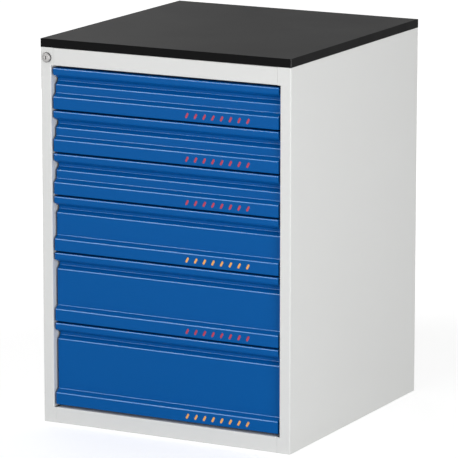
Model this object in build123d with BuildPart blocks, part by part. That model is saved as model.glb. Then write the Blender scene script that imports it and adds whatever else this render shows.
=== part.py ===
from build123d import *
import os

# Workshop cabinet with six drawers, in millimetres.
# The front faces -Y, +Z is up, and the origin is the centre of the base on the floor.

# Housing: folded sheet with a frame of uprights and rails round the drawers
cabinet_width = 580.0
cabinet_depth = 600.0
housing_sheet = 1.25
housing_inner_bend = 1.25
upright_width = 24.5
upright_tab_reach = 5.8
upright_return = 32.0
top_rail_height = 37.0
bottom_rail_height = 34.0
rear_flange_width = 28.0
panel_flange_height = 20.0
seam_gap = 0.3

# Worktop: a board with edging strips, screwed down from inside the housing
worktop_thickness = 18.0
edging_thickness = 2.0
edging_seam = 0.1
edging_round = 0.8
screw_shank_radius = 2.0
screw_head_radius = 4.5
screw_head_height = 2.6
screw_bite = 11.0
screw_inset = 80.0
screw_clearance = 0.1

# Drawer fronts: one folded sheet each, alike apart from the height of the flat panel
shallow_panel = 17.0
medium_panel = 47.0
deep_panel = 77.0
deepest_panel = 107.0
panel_heights = [shallow_panel, shallow_panel, shallow_panel, medium_panel, deep_panel, deepest_panel]
front_sheet = 1.2
front_inner_bend = 1.4
lip_inner_bend = 3.8
front_setback = 1.5
front_side_gap = 4.5
front_gap = 3.6
top_gap = 5.0
bottom_gap = 5.6
lip_height = 14.0
grip_drop = 9.0
grip_depth = 19.0
grip_wall = 6.0
panel_depth = 10.0
ledge_drop = 7.4
band_height = 25.6

# Coloured marks: a row of leaning slots in the band, with a plastic strip behind them
slot_count = 8
slot_pitch = 20.0
slot_length = 12.4
slot_width = 5.2
slot_lean = 28.0
slot_row_x = 122.0
slot_row_share = 0.48
strip_thickness = 1.5
strip_end_margin = 8.0
strip_edge_gap = 3.2

# Drawer trays
tray_sheet = 1.0
tray_seam = 0.1
tray_lift = 3.0
tray_drop = 12.0
tray_rear_gap = 36.0

# Telescopic runners: three nested channels a side, with ball cages between them
rail_sheet = 1.2
rail_height = 45.0
rail_lift = 1.5
rail_front_gap = 1.0
rail_end_gap = 11.0
ball_race = 4.0
cage_clearance = 0.25
cage_inset = 1.0
cage_length = 200.0
cage_end_gap = 10.0
outer_web_gap = 3.2
outer_tip_gap = 2.3
middle_tip_gap = 1.5
inner_tip_gap = 1.1
inner_flange = 5.8

# Posts that carry the runners inside the housing
post_width = 30.0
post_setback = 0.7
post_end_gap = 6.0

# Lock cylinder at the top of the left upright
lock_drop = 21.0
case_radius = 8.0
case_length = 20.0
case_wall = 2.5
case_clearance = 0.1
bezel_margin = 2.5
bezel_height = 5.0
bezel_round = 3.6
nut_wall = 3.0
nut_thickness = 5.0
barrel_clearance = 0.05
barrel_recess = 0.3
tail_step = 2.5
key_margin = 1.75
key_slot_width = 2.2
key_slot_depth = 8.0
cam_gap = 0.3
cam_thickness = 2.5
cam_margin = 2.5

# Lock bar behind the left upright, with one finger for each drawer's catch
bar_lift = 10.0
bar_thickness = 3.0
bar_wall_gap = 1.4
bar_head = 8.0
bar_tail = 20.0
pin_radius = 1.75
pin_clearance = 0.5
pin_margin = 3.2
pin_overhang = 1.0
pin_notch_margin = 4.0
finger_height = 8.0
finger_tip_gap = 3.5
guide_wall = 2.0
guide_height = 14.0
guide_drop = 24.0
guide_clearance = 0.3
catch_sheet = 2.0
catch_ear_thickness = 3.0
catch_foot = 20.0
catch_height = 10.0
catch_drop = 2.0
catch_side_gap = 2.5
catch_rear_gap = 0.8
catch_clearance = 4.0

# Every cut runs past its solid by this much
cut_overrun = 1.0

# Heights that follow from the drawer fronts, from the top drawer down
fixed_front_height = lip_height + grip_drop + grip_wall + 2 * ledge_drop + band_height
front_heights = [fixed_front_height + panel for panel in panel_heights]
inner_gaps = front_gap * (len(front_heights) - 1)
opening_height = top_gap + sum(front_heights) + inner_gaps + bottom_gap
opening_top = bottom_rail_height + opening_height
body_height = opening_top + top_rail_height
first_front_top = opening_top - top_gap
front_tops = [
    first_front_top - sum(front_heights[:number]) - front_gap * number
    for number in range(len(front_heights))
]
front_bottoms = [top - height for top, height in zip(front_tops, front_heights)]
tray_bottoms = [bottom + tray_lift for bottom in front_bottoms]
tray_tops = [top - tray_drop for top in front_tops]
rail_centres = [bottom + rail_lift + rail_height / 2 for bottom in tray_bottoms]
catch_bottoms = [top - catch_drop - catch_height for top in tray_tops]
finger_bottoms = [bottom - catch_clearance - finger_height for bottom in catch_bottoms]

# Planes of the housing
half_width = cabinet_width / 2
half_depth = cabinet_depth / 2
housing_bend = housing_sheet + housing_inner_bend
frame_y = -half_depth
wall_x = half_width - housing_sheet
half_opening = half_width - upright_width
tab_x = half_opening - upright_tab_reach
return_end_y = frame_y + upright_return
rear_panel_y = half_depth - 2 * housing_sheet

# Planes of the lock bar, the catches and the runners, from the front backwards
guide_front_y = return_end_y + guide_clearance
bar_front_y = guide_front_y + guide_wall + guide_clearance
bar_rear_y = bar_front_y + bar_thickness
guide_rear_y = bar_rear_y + guide_clearance + guide_wall
catch_front_y = bar_rear_y + catch_rear_gap
rail_front_y = guide_rear_y + rail_front_gap
tray_rear_y = rear_panel_y - tray_rear_gap
rail_rear_y = tray_rear_y - rail_end_gap
rail_length = rail_rear_y - rail_front_y

# Planes of the drawers
front_bend = front_sheet + front_inner_bend
lip_bend = front_sheet + lip_inner_bend
front_y = frame_y + front_setback
tray_front_y = front_y + grip_depth + front_sheet
half_front = half_opening - front_side_gap

# Runner sections, from the post inwards to the tray
post_x = half_opening + post_setback
middle_web_x = post_x - rail_sheet - outer_web_gap
inner_tip_x = middle_web_x - rail_sheet - inner_tip_gap
half_tray = inner_tip_x - inner_flange - rail_sheet
middle_tip_x = half_tray + rail_sheet + middle_tip_gap
outer_tip_x = half_tray + rail_sheet + outer_tip_gap
outer_half_height = rail_height / 2
middle_half_height = outer_half_height - rail_sheet - ball_race
inner_half_height = middle_half_height - rail_sheet - ball_race

# Lock places: the crank pin starts low on the left and lifts the bar in a quarter turn
pin_drop = bar_lift / 2
crank_radius = pin_drop * 2 ** 0.5
pin_slot_height = 2 * (pin_radius + pin_clearance)
pin_slot_length = crank_radius - pin_drop + pin_slot_height
bar_width = pin_slot_length + 2 * pin_margin
bar_left_x = bar_wall_gap - wall_x
bar_right_x = bar_left_x + bar_width
lock_x = bar_left_x + pin_margin + pin_radius + pin_clearance + crank_radius
lock_z = body_height - lock_drop
pin_x = lock_x - pin_drop
pin_z = lock_z - pin_drop
barrel_radius = case_radius - case_wall
tail_radius = barrel_radius - tail_step
bezel_y = frame_y - bezel_height
case_rear_y = frame_y + case_length
cam_front_y = case_rear_y + cam_gap
cam_rear_y = cam_front_y + cam_thickness
guided_drawers = (0, len(panel_heights) // 2, len(panel_heights) - 1)
guide_bottoms = [finger_bottoms[number] - guide_drop - guide_height for number in guided_drawers]

os.makedirs("parts", exist_ok=True)


def save(piece, name):
    """Name a finished piece and write it to its own file."""
    piece.label = name
    export_step(piece, f"parts/{name}.step")


def cross_plane(y):
    """Upright plane across the cabinet at y, looking out at the front."""
    return Plane.XZ.offset(-y)


def make_side_panel(side):
    """Side wall, upright and return flange folded from one sheet: side is -1 left, 1 right."""
    corners = [
        (side * (half_width - rear_flange_width), half_depth),
        (side * half_width, half_depth),
        (side * half_width, frame_y),
        (side * half_opening, frame_y),
        (side * half_opening, return_end_y),
    ]
    inward = Side.RIGHT if side > 0 else Side.LEFT
    towards_wall = Align.MIN if side > 0 else Align.MAX
    towards_opening = Align.MAX if side > 0 else Align.MIN
    with BuildPart() as panel:
        with BuildSketch() as section:
            with BuildLine() as fold:
                FilletPolyline(*corners, radius=housing_bend)
                offset(amount=housing_sheet, side=inward)
            make_face()
        extrude(amount=body_height)
        # Beside the two rails the upright is a wider flat tab without a return flange
        for low, high in ((0, bottom_rail_height), (opening_top, body_height)):
            with BuildSketch(Plane.XY.offset(low)) as return_cut:
                with Locations((side * (half_opening + housing_bend), frame_y - cut_overrun)):
                    Rectangle(
                        housing_bend + cut_overrun,
                        upright_return + 2 * cut_overrun,
                        align=(towards_opening, Align.MIN),
                    )
            extrude(amount=high - low, mode=Mode.SUBTRACT)
            with BuildSketch(Plane.XY.offset(low)) as tab:
                with Locations((side * tab_x, frame_y)):
                    Rectangle(
                        upright_tab_reach + housing_bend,
                        housing_sheet,
                        align=(towards_wall, Align.MIN),
                    )
            extrude(amount=high - low)
        if side < 0:
            with BuildSketch(cross_plane(frame_y)) as lock_hole:
                with Locations((lock_x, lock_z)):
                    Circle(case_radius + case_clearance)
            extrude(amount=-(housing_sheet + cut_overrun), mode=Mode.SUBTRACT)
    return panel.part


def make_front_rail(low, high):
    """Channel across the front, between the tabs of the uprights."""
    corners = [(return_end_y, high), (frame_y, high), (frame_y, low), (return_end_y, low)]
    with BuildPart() as rail:
        with BuildSketch(Plane.YZ) as section:
            with BuildLine() as fold:
                FilletPolyline(*corners, radius=housing_bend)
                offset(amount=housing_sheet, side=Side.LEFT)
            make_face()
        extrude(amount=tab_x - seam_gap, both=True)
    return rail.part


def make_rear_panel():
    """Flat back sheet inside the rear flanges of the side walls."""
    with BuildPart() as panel:
        with BuildSketch(cross_plane(rear_panel_y)) as sheet:
            with Locations((0, body_height / 2)):
                Rectangle(2 * (half_width - housing_bend), body_height)
        extrude(amount=-housing_sheet)
    return panel.part


def make_base_panel():
    """Floor sheet between the side walls, flanged up along its front and rear edges."""
    corners = [
        (return_end_y, panel_flange_height),
        (return_end_y, 0),
        (rear_panel_y, 0),
        (rear_panel_y, panel_flange_height),
    ]
    with BuildPart() as panel:
        with BuildSketch(Plane.YZ) as section:
            with BuildLine() as fold:
                FilletPolyline(*corners, radius=housing_bend)
                offset(amount=housing_sheet, side=Side.LEFT)
            make_face()
        extrude(amount=wall_x, both=True)
    return panel.part


def screw_grid():
    """Places of the screws that hold the worktop."""
    return GridLocations(2 * (half_width - screw_inset), half_depth - screw_inset, 2, 3)


def make_top_panel():
    """Sheet under the worktop, flanged down in front and behind, notched for the lock's pin."""
    corners = [
        (return_end_y, body_height - panel_flange_height),
        (return_end_y, body_height),
        (rear_panel_y, body_height),
        (rear_panel_y, body_height - panel_flange_height),
    ]
    with BuildPart() as panel:
        with BuildSketch(Plane.YZ) as section:
            with BuildLine() as fold:
                FilletPolyline(*corners, radius=housing_bend)
                offset(amount=housing_sheet, side=Side.RIGHT)
            make_face()
        extrude(amount=wall_x, both=True)
        with BuildSketch(Plane.XY.offset(body_height)) as screw_holes:
            with screw_grid():
                Circle(screw_shank_radius + screw_clearance)
        extrude(amount=-(housing_sheet + cut_overrun), mode=Mode.SUBTRACT)
        notch_right_x = pin_x + pin_radius + pin_notch_margin
        notch_top = lock_z + pin_drop + pin_radius + pin_notch_margin
        flange_bottom = body_height - panel_flange_height
        with BuildSketch(cross_plane(return_end_y)) as pin_notch:
            with Locations((-wall_x, notch_top)):
                Rectangle(
                    notch_right_x + wall_x,
                    notch_top - flange_bottom + cut_overrun,
                    align=(Align.MIN, Align.MAX),
                )
        extrude(amount=-housing_bend, mode=Mode.SUBTRACT)
    return panel.part


def make_worktop():
    """Board inside its edging, with blind holes for the screws."""
    with BuildPart() as board:
        with BuildSketch(Plane.XY.offset(body_height)) as sheet:
            Rectangle(cabinet_width - 2 * edging_thickness, cabinet_depth - 2 * edging_thickness)
        extrude(amount=worktop_thickness)
        with BuildSketch(Plane.XY.offset(body_height)) as screw_holes:
            with screw_grid():
                Circle(screw_shank_radius + screw_clearance)
        extrude(amount=screw_bite + screw_clearance, mode=Mode.SUBTRACT)
    return board.part


def on_worktop_outline(edge):
    """True for an edge whose middle lies on the outer sides of the worktop."""
    middle = edge.center()
    beyond = max(abs(middle.X) - half_width, abs(middle.Y) - half_depth)
    return beyond > -edging_thickness / 4


def make_worktop_edging():
    """Four strips round the board; the front and rear ones cover the ends of the side ones."""
    side_length = cabinet_depth - 2 * (edging_thickness + edging_seam)
    with BuildPart() as edging:
        with BuildSketch(Plane.XY.offset(body_height)) as strips:
            for end in (-1, 1):
                with Locations((0, end * (half_depth - edging_thickness / 2))):
                    Rectangle(cabinet_width, edging_thickness)
                with Locations((end * (half_width - edging_thickness / 2), 0)):
                    Rectangle(edging_thickness, side_length)
        extrude(amount=worktop_thickness)
        upper_edges = edging.edges().group_by(Axis.Z)[-1]
        fillet(upper_edges.filter_by(on_worktop_outline), radius=edging_round)
    return edging.part


def make_worktop_screws():
    """Pan-head screws from under the top panel into the board."""
    head_top = body_height - housing_sheet
    with BuildPart() as screws:
        with BuildSketch(Plane.XY.offset(head_top)) as heads:
            with screw_grid():
                Circle(screw_head_radius)
        extrude(amount=-screw_head_height)
        with BuildSketch(Plane.XY.offset(head_top)) as shanks:
            with screw_grid():
                Circle(screw_shank_radius)
        extrude(amount=housing_sheet + screw_bite)
    return screws.part


def make_runner_posts():
    """Four channels welded upright to the side walls, which the runners are fixed to."""
    post_reach = wall_x - post_x
    front_post_y = rail_front_y + post_end_gap + post_width / 2
    rear_post_y = rail_rear_y - post_end_gap - post_width / 2
    with BuildPart() as posts:
        with BuildSketch(Plane.XY.offset(housing_sheet)) as sections:
            for side in (-1, 1):
                for middle_y in (front_post_y, rear_post_y):
                    with Locations((side * (post_x + post_reach / 2), middle_y)):
                        Rectangle(post_reach, post_width)
                    with Locations((side * (post_x + (post_reach + housing_sheet) / 2), middle_y)):
                        Rectangle(
                            post_reach - housing_sheet,
                            post_width - 2 * housing_sheet,
                            mode=Mode.SUBTRACT,
                        )
        extrude(amount=body_height - 2 * housing_sheet)
    return posts.part


def channel_section(web_x, tip_x, middle_z, half_height):
    """Section of a runner member: a web at web_x and two flanges that reach to tip_x."""
    sheet_step = rail_sheet if tip_x > web_x else -rail_sheet
    with BuildSketch(cross_plane(rail_front_y)) as section:
        with Locations(((web_x + tip_x) / 2, middle_z)):
            Rectangle(abs(tip_x - web_x), 2 * half_height)
        with Locations(((web_x + sheet_step + tip_x) / 2, middle_z)):
            Rectangle(
                abs(tip_x - web_x) - rail_sheet,
                2 * (half_height - rail_sheet),
                mode=Mode.SUBTRACT,
            )
    return section.sketch


def make_rails(web_x, tip_x, half_height, middles):
    """One runner member on each side at each of the given heights."""
    with BuildPart() as rails:
        for middle_z in middles:
            for side in (-1, 1):
                extrude(
                    channel_section(side * web_x, side * tip_x, middle_z, half_height),
                    amount=-rail_length,
                )
    return rails.part


def make_ball_cages(middle_z):
    """Bearing strips of one runner pair: the outer ones at its rear, the inner ones in front."""
    cage_height = ball_race - 2 * cage_clearance
    outer_low_x = outer_tip_x + cage_inset
    outer_high_x = post_x - rail_sheet - cage_inset
    inner_low_x = middle_tip_x + cage_inset
    inner_high_x = middle_web_x - rail_sheet - cage_inset
    outer_start_y = rail_rear_y - cage_end_gap - cage_length
    inner_start_y = rail_front_y + cage_end_gap
    rows = (
        (outer_low_x, outer_high_x, middle_half_height, outer_start_y),
        (inner_low_x, inner_high_x, inner_half_height, inner_start_y),
    )
    with BuildPart() as cages:
        for low_x, high_x, half_height, start_y in rows:
            race_middle = half_height + ball_race / 2
            with BuildSketch(cross_plane(start_y)) as sections:
                for side in (-1, 1):
                    for level in (-1, 1):
                        with Locations((side * (low_x + high_x) / 2, middle_z + level * race_middle)):
                            Rectangle(high_x - low_x, cage_height)
            extrude(amount=-cage_length)
    return cages.part


def make_drawer_front(number):
    """Folded front: grip lip, finger groove, flat panel and slotted band, closed at both ends."""
    top = front_tops[number]
    bottom = front_bottoms[number]
    grip_top = top - lip_height - grip_drop
    panel_top = grip_top - grip_wall - ledge_drop
    band_top = bottom + band_height
    groove_y = front_y + grip_depth
    panel_y = front_y + panel_depth
    corners = [
        (tray_front_y, top),
        (front_y, top),
        (front_y, top - lip_height),
        (groove_y, grip_top),
        (groove_y, grip_top - grip_wall),
        (panel_y, panel_top),
        (panel_y, band_top + ledge_drop),
        (front_y, band_top),
        (front_y, bottom),
        (tray_front_y, bottom),
    ]
    # Every fold has the same bend but the lower one of the lip, which is rounder for the fingers
    bends = [lip_bend if corner == (front_y, top - lip_height) else front_bend for corner in corners[1:-1]]
    with BuildPart() as front:
        with BuildSketch(Plane.YZ) as section:
            with BuildLine() as fold:
                FilletPolyline(*corners, radius=bends)
                offset(amount=front_sheet, side=Side.LEFT)
            make_face()
        extrude(amount=half_front, both=True)
        for side in (-1, 1):
            with BuildSketch(Plane.YZ.offset(side * half_front)) as end_plate:
                with BuildLine() as outline:
                    FilletPolyline(*corners, radius=bends)
                    Line(corners[-1], corners[0])
                make_face()
            extrude(amount=-side * front_sheet)
        with BuildSketch(cross_plane(front_y)) as slots:
            with Locations((slot_row_x, bottom + band_height * slot_row_share)):
                with GridLocations(slot_pitch, 0, slot_count, 1):
                    SlotOverall(slot_length, slot_width, rotation=90 - slot_lean)
        extrude(amount=-(front_sheet + cut_overrun), mode=Mode.SUBTRACT)
    return front.part


def make_mark_strip(number):
    """Coloured strip against the back of the band, seen through the slots."""
    strip_length = (slot_count - 1) * slot_pitch + slot_length + 2 * strip_end_margin
    with BuildPart() as strip:
        with BuildSketch(cross_plane(front_y + front_sheet)) as outline:
            with Locations((slot_row_x, front_bottoms[number] + band_height / 2)):
                Rectangle(strip_length, band_height - 2 * strip_edge_gap)
        extrude(amount=-strip_thickness)
    return strip.part


def make_tray(number):
    """Open box behind the front: a base sheet with four wall sheets welded round its edge."""
    length = tray_rear_y - tray_front_y
    middle_y = (tray_front_y + tray_rear_y) / 2
    side_length = length - 2 * (tray_sheet + tray_seam)
    wall_bottom = tray_bottoms[number] + tray_sheet + tray_seam
    with BuildPart() as tray:
        with BuildSketch(Plane.XY.offset(tray_bottoms[number])) as base:
            with Locations((0, middle_y)):
                Rectangle(2 * half_tray, length)
        extrude(amount=tray_sheet)
        with BuildSketch(Plane.XY.offset(wall_bottom)) as walls:
            for end in (-1, 1):
                with Locations((0, middle_y + end * (length - tray_sheet) / 2)):
                    Rectangle(2 * half_tray, tray_sheet)
                with Locations((end * (half_tray - tray_sheet / 2), middle_y)):
                    Rectangle(tray_sheet, side_length)
        extrude(amount=tray_tops[number] - wall_bottom)
    return tray.part


def make_lock_catch(number):
    """Angle on the left of the tray; its ear passes over the lock finger, or stops behind it."""
    with BuildPart() as catch:
        with BuildSketch(Plane.XY.offset(catch_bottoms[number])) as section:
            with Locations((-half_tray, catch_front_y)):
                Rectangle(catch_sheet, catch_foot, align=(Align.MAX, Align.MIN))
                Rectangle(
                    half_opening - catch_side_gap - half_tray,
                    catch_ear_thickness,
                    align=(Align.MAX, Align.MIN),
                )
        extrude(amount=catch_height)
    return catch.part


def make_lock_case():
    """Threaded sleeve with a round bezel that stands on the upright."""
    with BuildPart() as case:
        with BuildSketch(cross_plane(bezel_y)) as bezel:
            with Locations((lock_x, lock_z)):
                Circle(case_radius + bezel_margin)
        extrude(amount=-bezel_height)
        fillet(case.edges().filter_by(GeomType.CIRCLE).sort_by(Axis.Y)[0], radius=bezel_round)
        with BuildSketch(cross_plane(frame_y)) as sleeve:
            with Locations((lock_x, lock_z)):
                Circle(case_radius)
        extrude(amount=-case_length)
        with BuildSketch(cross_plane(bezel_y)) as bore:
            with Locations((lock_x, lock_z)):
                Circle(barrel_radius + barrel_clearance)
        extrude(amount=-(bezel_height + case_length), mode=Mode.SUBTRACT)
    return case.part


def make_lock_nut():
    """Hexagon nut that clamps the case from inside the upright."""
    with BuildPart() as nut:
        with BuildSketch(cross_plane(frame_y + housing_sheet)) as outline:
            with Locations((lock_x, lock_z)):
                RegularPolygon(case_radius + nut_wall, 6)
                Circle(case_radius + case_clearance, mode=Mode.SUBTRACT)
        extrude(amount=-nut_thickness)
    return nut.part


def make_lock_barrel():
    """Turning cylinder with an upright key slot, and a tail for the cam."""
    face_y = bezel_y + barrel_recess
    with BuildPart() as barrel:
        with BuildSketch(cross_plane(face_y)) as cylinder:
            with Locations((lock_x, lock_z)):
                Circle(barrel_radius)
        extrude(amount=-(case_rear_y - face_y))
        with BuildSketch(cross_plane(case_rear_y)) as tail:
            with Locations((lock_x, lock_z)):
                Circle(tail_radius)
        extrude(amount=-(cam_rear_y - case_rear_y))
        with BuildSketch(cross_plane(face_y)) as key_slot:
            with Locations((lock_x, lock_z)):
                SlotOverall(2 * (barrel_radius - key_margin), key_slot_width, rotation=90)
        extrude(amount=-key_slot_depth, mode=Mode.SUBTRACT)
    return barrel.part


def make_lock_cam():
    """Crank on the barrel's tail, with a pin that reaches through the bar."""
    with BuildPart() as cam:
        with BuildSketch(cross_plane(cam_front_y)) as lever:
            with Locations(((lock_x + pin_x) / 2, (lock_z + pin_z) / 2)):
                SlotCenterToCenter(crank_radius, 2 * (tail_radius + cam_margin), rotation=45)
            with Locations((lock_x, lock_z)):
                Circle(tail_radius + barrel_clearance, mode=Mode.SUBTRACT)
        extrude(amount=-cam_thickness)
        with BuildSketch(cross_plane(cam_rear_y)) as pin:
            with Locations((pin_x, pin_z)):
                Circle(pin_radius)
        extrude(amount=-(bar_rear_y + pin_overhang - cam_rear_y))
    return cam.part


def make_lock_bar():
    """Flat bar with a cross slot for the crank pin and a finger below each catch."""
    bar_bottom = min(guide_bottoms) - bar_tail
    bar_top = pin_z + bar_head
    finger_tip_x = -(half_tray + finger_tip_gap)
    with BuildPart() as bar:
        with BuildSketch(cross_plane(bar_front_y)) as outline:
            with Locations((bar_left_x, bar_bottom)):
                Rectangle(bar_width, bar_top - bar_bottom, align=(Align.MIN, Align.MIN))
            for finger_bottom in finger_bottoms:
                with Locations((bar_left_x, finger_bottom)):
                    Rectangle(finger_tip_x - bar_left_x, finger_height, align=(Align.MIN, Align.MIN))
            with Locations((bar_left_x + bar_width / 2, pin_z)):
                SlotOverall(pin_slot_length, pin_slot_height, mode=Mode.SUBTRACT)
        extrude(amount=-bar_thickness)
    return bar.part


def make_lock_bar_guides():
    """Three clips on the side wall that the bar slides in."""
    slot_end_x = bar_right_x + guide_clearance
    with BuildPart() as guides:
        for guide_bottom in guide_bottoms:
            with BuildSketch(Plane.XY.offset(guide_bottom)) as section:
                with Locations((-wall_x, guide_front_y)):
                    Rectangle(
                        slot_end_x + guide_wall + wall_x,
                        guide_rear_y - guide_front_y,
                        align=(Align.MIN, Align.MIN),
                    )
                with Locations((-wall_x, bar_front_y - guide_clearance)):
                    Rectangle(
                        slot_end_x + wall_x,
                        bar_thickness + 2 * guide_clearance,
                        align=(Align.MIN, Align.MIN),
                        mode=Mode.SUBTRACT,
                    )
            extrude(amount=guide_height)
    return guides.part


save(make_side_panel(-1), "left_side_panel")
save(make_side_panel(1), "right_side_panel")
save(make_front_rail(opening_top, body_height), "top_front_rail")
save(make_front_rail(0, bottom_rail_height), "bottom_front_rail")
save(make_rear_panel(), "rear_panel")
save(make_base_panel(), "base_panel")
save(make_top_panel(), "top_panel")
save(make_worktop(), "worktop")
save(make_worktop_edging(), "worktop_edging")
save(make_worktop_screws(), "worktop_screws")
save(make_runner_posts(), "runner_posts")
save(make_rails(post_x, outer_tip_x, outer_half_height, rail_centres), "cabinet_rails")
save(make_lock_case(), "lock_case")
save(make_lock_nut(), "lock_nut")
save(make_lock_barrel(), "lock_barrel")
save(make_lock_cam(), "lock_cam")
save(make_lock_bar(), "lock_bar")
save(make_lock_bar_guides(), "lock_bar_guides")
for number, middle_z in enumerate(rail_centres):
    drawer = f"drawer_{number + 1}"
    save(make_drawer_front(number), f"{drawer}_front")
    save(make_mark_strip(number), f"{drawer}_mark_strip")
    save(make_tray(number), f"{drawer}_tray")
    save(make_lock_catch(number), f"{drawer}_lock_catch")
    save(make_rails(half_tray, inner_tip_x, inner_half_height, [middle_z]), f"{drawer}_tray_rails")
    save(make_rails(middle_web_x, middle_tip_x, middle_half_height, [middle_z]), f"{drawer}_middle_rails")
    save(make_ball_cages(middle_z), f"{drawer}_ball_cages")
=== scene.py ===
import math

import bmesh
import bpy
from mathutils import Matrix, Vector


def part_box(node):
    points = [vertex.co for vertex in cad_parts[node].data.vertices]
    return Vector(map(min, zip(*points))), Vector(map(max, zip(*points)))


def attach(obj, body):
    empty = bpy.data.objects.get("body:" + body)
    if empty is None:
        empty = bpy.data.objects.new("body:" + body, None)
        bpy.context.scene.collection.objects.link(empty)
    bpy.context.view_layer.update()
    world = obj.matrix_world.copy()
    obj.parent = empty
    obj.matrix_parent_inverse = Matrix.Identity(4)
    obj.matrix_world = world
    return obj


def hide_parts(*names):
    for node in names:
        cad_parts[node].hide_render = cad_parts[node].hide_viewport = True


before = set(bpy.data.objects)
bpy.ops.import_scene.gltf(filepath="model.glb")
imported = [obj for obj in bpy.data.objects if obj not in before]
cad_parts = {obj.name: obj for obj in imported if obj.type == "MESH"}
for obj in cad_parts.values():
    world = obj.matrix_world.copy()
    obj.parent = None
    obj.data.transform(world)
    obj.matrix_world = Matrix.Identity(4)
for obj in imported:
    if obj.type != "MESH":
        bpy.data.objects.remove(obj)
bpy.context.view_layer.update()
bpy.ops.object.select_all(action="DESELECT")


# Side walls: each is one steel sheet, folded into wall, rear flange, front upright and return
# flange, then coated in light grey powder. Beside the two rails the upright ends in flat tabs.
def add_node(tree, kind, options=None, sockets=None):
    """Adds a shader node, sets its options and fills its sockets with values or links."""
    node = tree.nodes.new(kind)
    for option, value in (options or {}).items():
        setattr(node, option, value)
    for socket, value in (sockets or {}).items():
        if isinstance(value, bpy.types.NodeSocket):
            tree.links.new(value, node.inputs[socket])
        else:
            node.inputs[socket].default_value = value
    return node


def add_math(tree, operation, *values):
    """Works out one value from others."""
    return add_node(tree, "ShaderNodeMath", {"operation": operation}, dict(enumerate(values))).outputs[0]


def add_mix(tree, data_type, factor, first, second):
    """Blends from a first value or colour to a second."""
    sockets = {"Factor": factor, "A": first, "B": second}
    return add_node(tree, "ShaderNodeMix", {"data_type": data_type}, sockets).outputs["Result"]


def add_noise(tree, place, per_metre, detail, **settings):
    """Soft noise over the surface, with a number of blotches to the metre."""
    sockets = {"Vector": place, "Scale": per_metre, "Detail": detail, **settings}
    return add_node(tree, "ShaderNodeTexNoise", None, sockets).outputs["Fac"]


def add_step(tree, value, start, end):
    """A smooth step from 0 at one value to 1 at another."""
    return add_node(
        tree, "ShaderNodeMapRange", {"interpolation_type": "SMOOTHSTEP"},
        {"Value": value, "From Min": start, "From Max": end},
    ).outputs[0]


def shade(tree, colour, tone, strength):
    """Makes a colour lighter and darker with a tone that lies round zero."""
    value = add_math(tree, "MULTIPLY_ADD", tone, strength, 1.0)
    return add_node(tree, "ShaderNodeHueSaturation", None, {"Value": value, "Color": colour}).outputs["Color"]


def new_group(name, inputs, outputs):
    """Starts a shader node group with named inputs and outputs, and returns its tree and end nodes."""
    tree = bpy.data.node_groups.new(name, "ShaderNodeTree")
    for label, kind in inputs.items():
        tree.interface.new_socket(label, in_out="INPUT", socket_type=kind)
    for label, kind in outputs.items():
        tree.interface.new_socket(label, in_out="OUTPUT", socket_type=kind)
    return tree, tree.nodes.new("NodeGroupInput"), tree.nodes.new("NodeGroupOutput")


def put_out(tree, result, **values):
    """Links values to a group's outputs of the same names."""
    for label, value in values.items():
        tree.links.new(value, result.inputs[label])


finish_outputs = {"Colour": "NodeSocketColor", "Roughness": "NodeSocketFloat", "Height": "NodeSocketFloat"}
noise_middle = 0.5


def make_powder_coat():
    """Cured powder: orange peel and fine grains in the height, faint clouds in colour and gloss."""
    grains_per_peel = 3.1
    clouds_per_metre = 5.0
    grain_in_tone = 0.3
    grain_in_height = 0.25
    gloss_spread = 0.12
    tree, given, result = new_group(
        "powder_coat",
        {
            "Colour": "NodeSocketColor",
            "Clouding": "NodeSocketFloat",
            "Roughness": "NodeSocketFloat",
            "Peel": "NodeSocketFloat",
        },
        finish_outputs,
    )
    place = add_node(tree, "ShaderNodeTexCoord").outputs["Object"]
    peel = add_noise(tree, place, given.outputs["Peel"], detail=1.0, Roughness=0.4)
    grain_scale = add_math(tree, "MULTIPLY", given.outputs["Peel"], grains_per_peel)
    grain = add_noise(tree, place, grain_scale, detail=1.0)
    clouds = add_noise(tree, place, clouds_per_metre, detail=4.0, Roughness=0.55)
    mottle = add_mix(tree, "FLOAT", grain_in_tone, clouds, grain)
    tone = add_math(tree, "SUBTRACT", mottle, noise_middle)
    put_out(
        tree, result,
        Colour=shade(tree, given.outputs["Colour"], tone, given.outputs["Clouding"]),
        Roughness=add_math(tree, "MULTIPLY_ADD", tone, gloss_spread, given.outputs["Roughness"]),
        Height=add_mix(tree, "FLOAT", grain_in_height, peel, grain),
    )
    return tree


powder_coat = make_powder_coat()


def new_material(name):
    """Starts a material with only its shader, and returns it with its tree and shader."""
    material = bpy.data.materials.new(name)
    material.use_nodes = True
    tree = material.node_tree
    shader = tree.nodes["Principled BSDF"]
    return material, tree, shader


def finish_with(tree, shader, group, settings, relief):
    """Feeds a shader from a finish group: colour, roughness and the height of its surface."""
    finish = add_node(tree, "ShaderNodeGroup", {"node_tree": group}, settings)
    bump = add_node(
        tree, "ShaderNodeBump", None,
        {"Height": finish.outputs["Height"], "Strength": 1.0, "Distance": relief},
    )
    tree.links.new(finish.outputs["Colour"], shader.inputs["Base Color"])
    tree.links.new(finish.outputs["Roughness"], shader.inputs["Roughness"])
    tree.links.new(bump.outputs["Normal"], shader.inputs["Normal"])
    return finish


def split_axes(tree, vector):
    """The x, y and z of a vector."""
    return add_node(tree, "ShaderNodeSeparateXYZ", None, {0: vector}).outputs


def without_signs(tree, vector):
    """A vector with its x, y and z made positive."""
    return add_node(tree, "ShaderNodeVectorMath", {"operation": "ABSOLUTE"}, {0: vector}).outputs[0]


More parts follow.
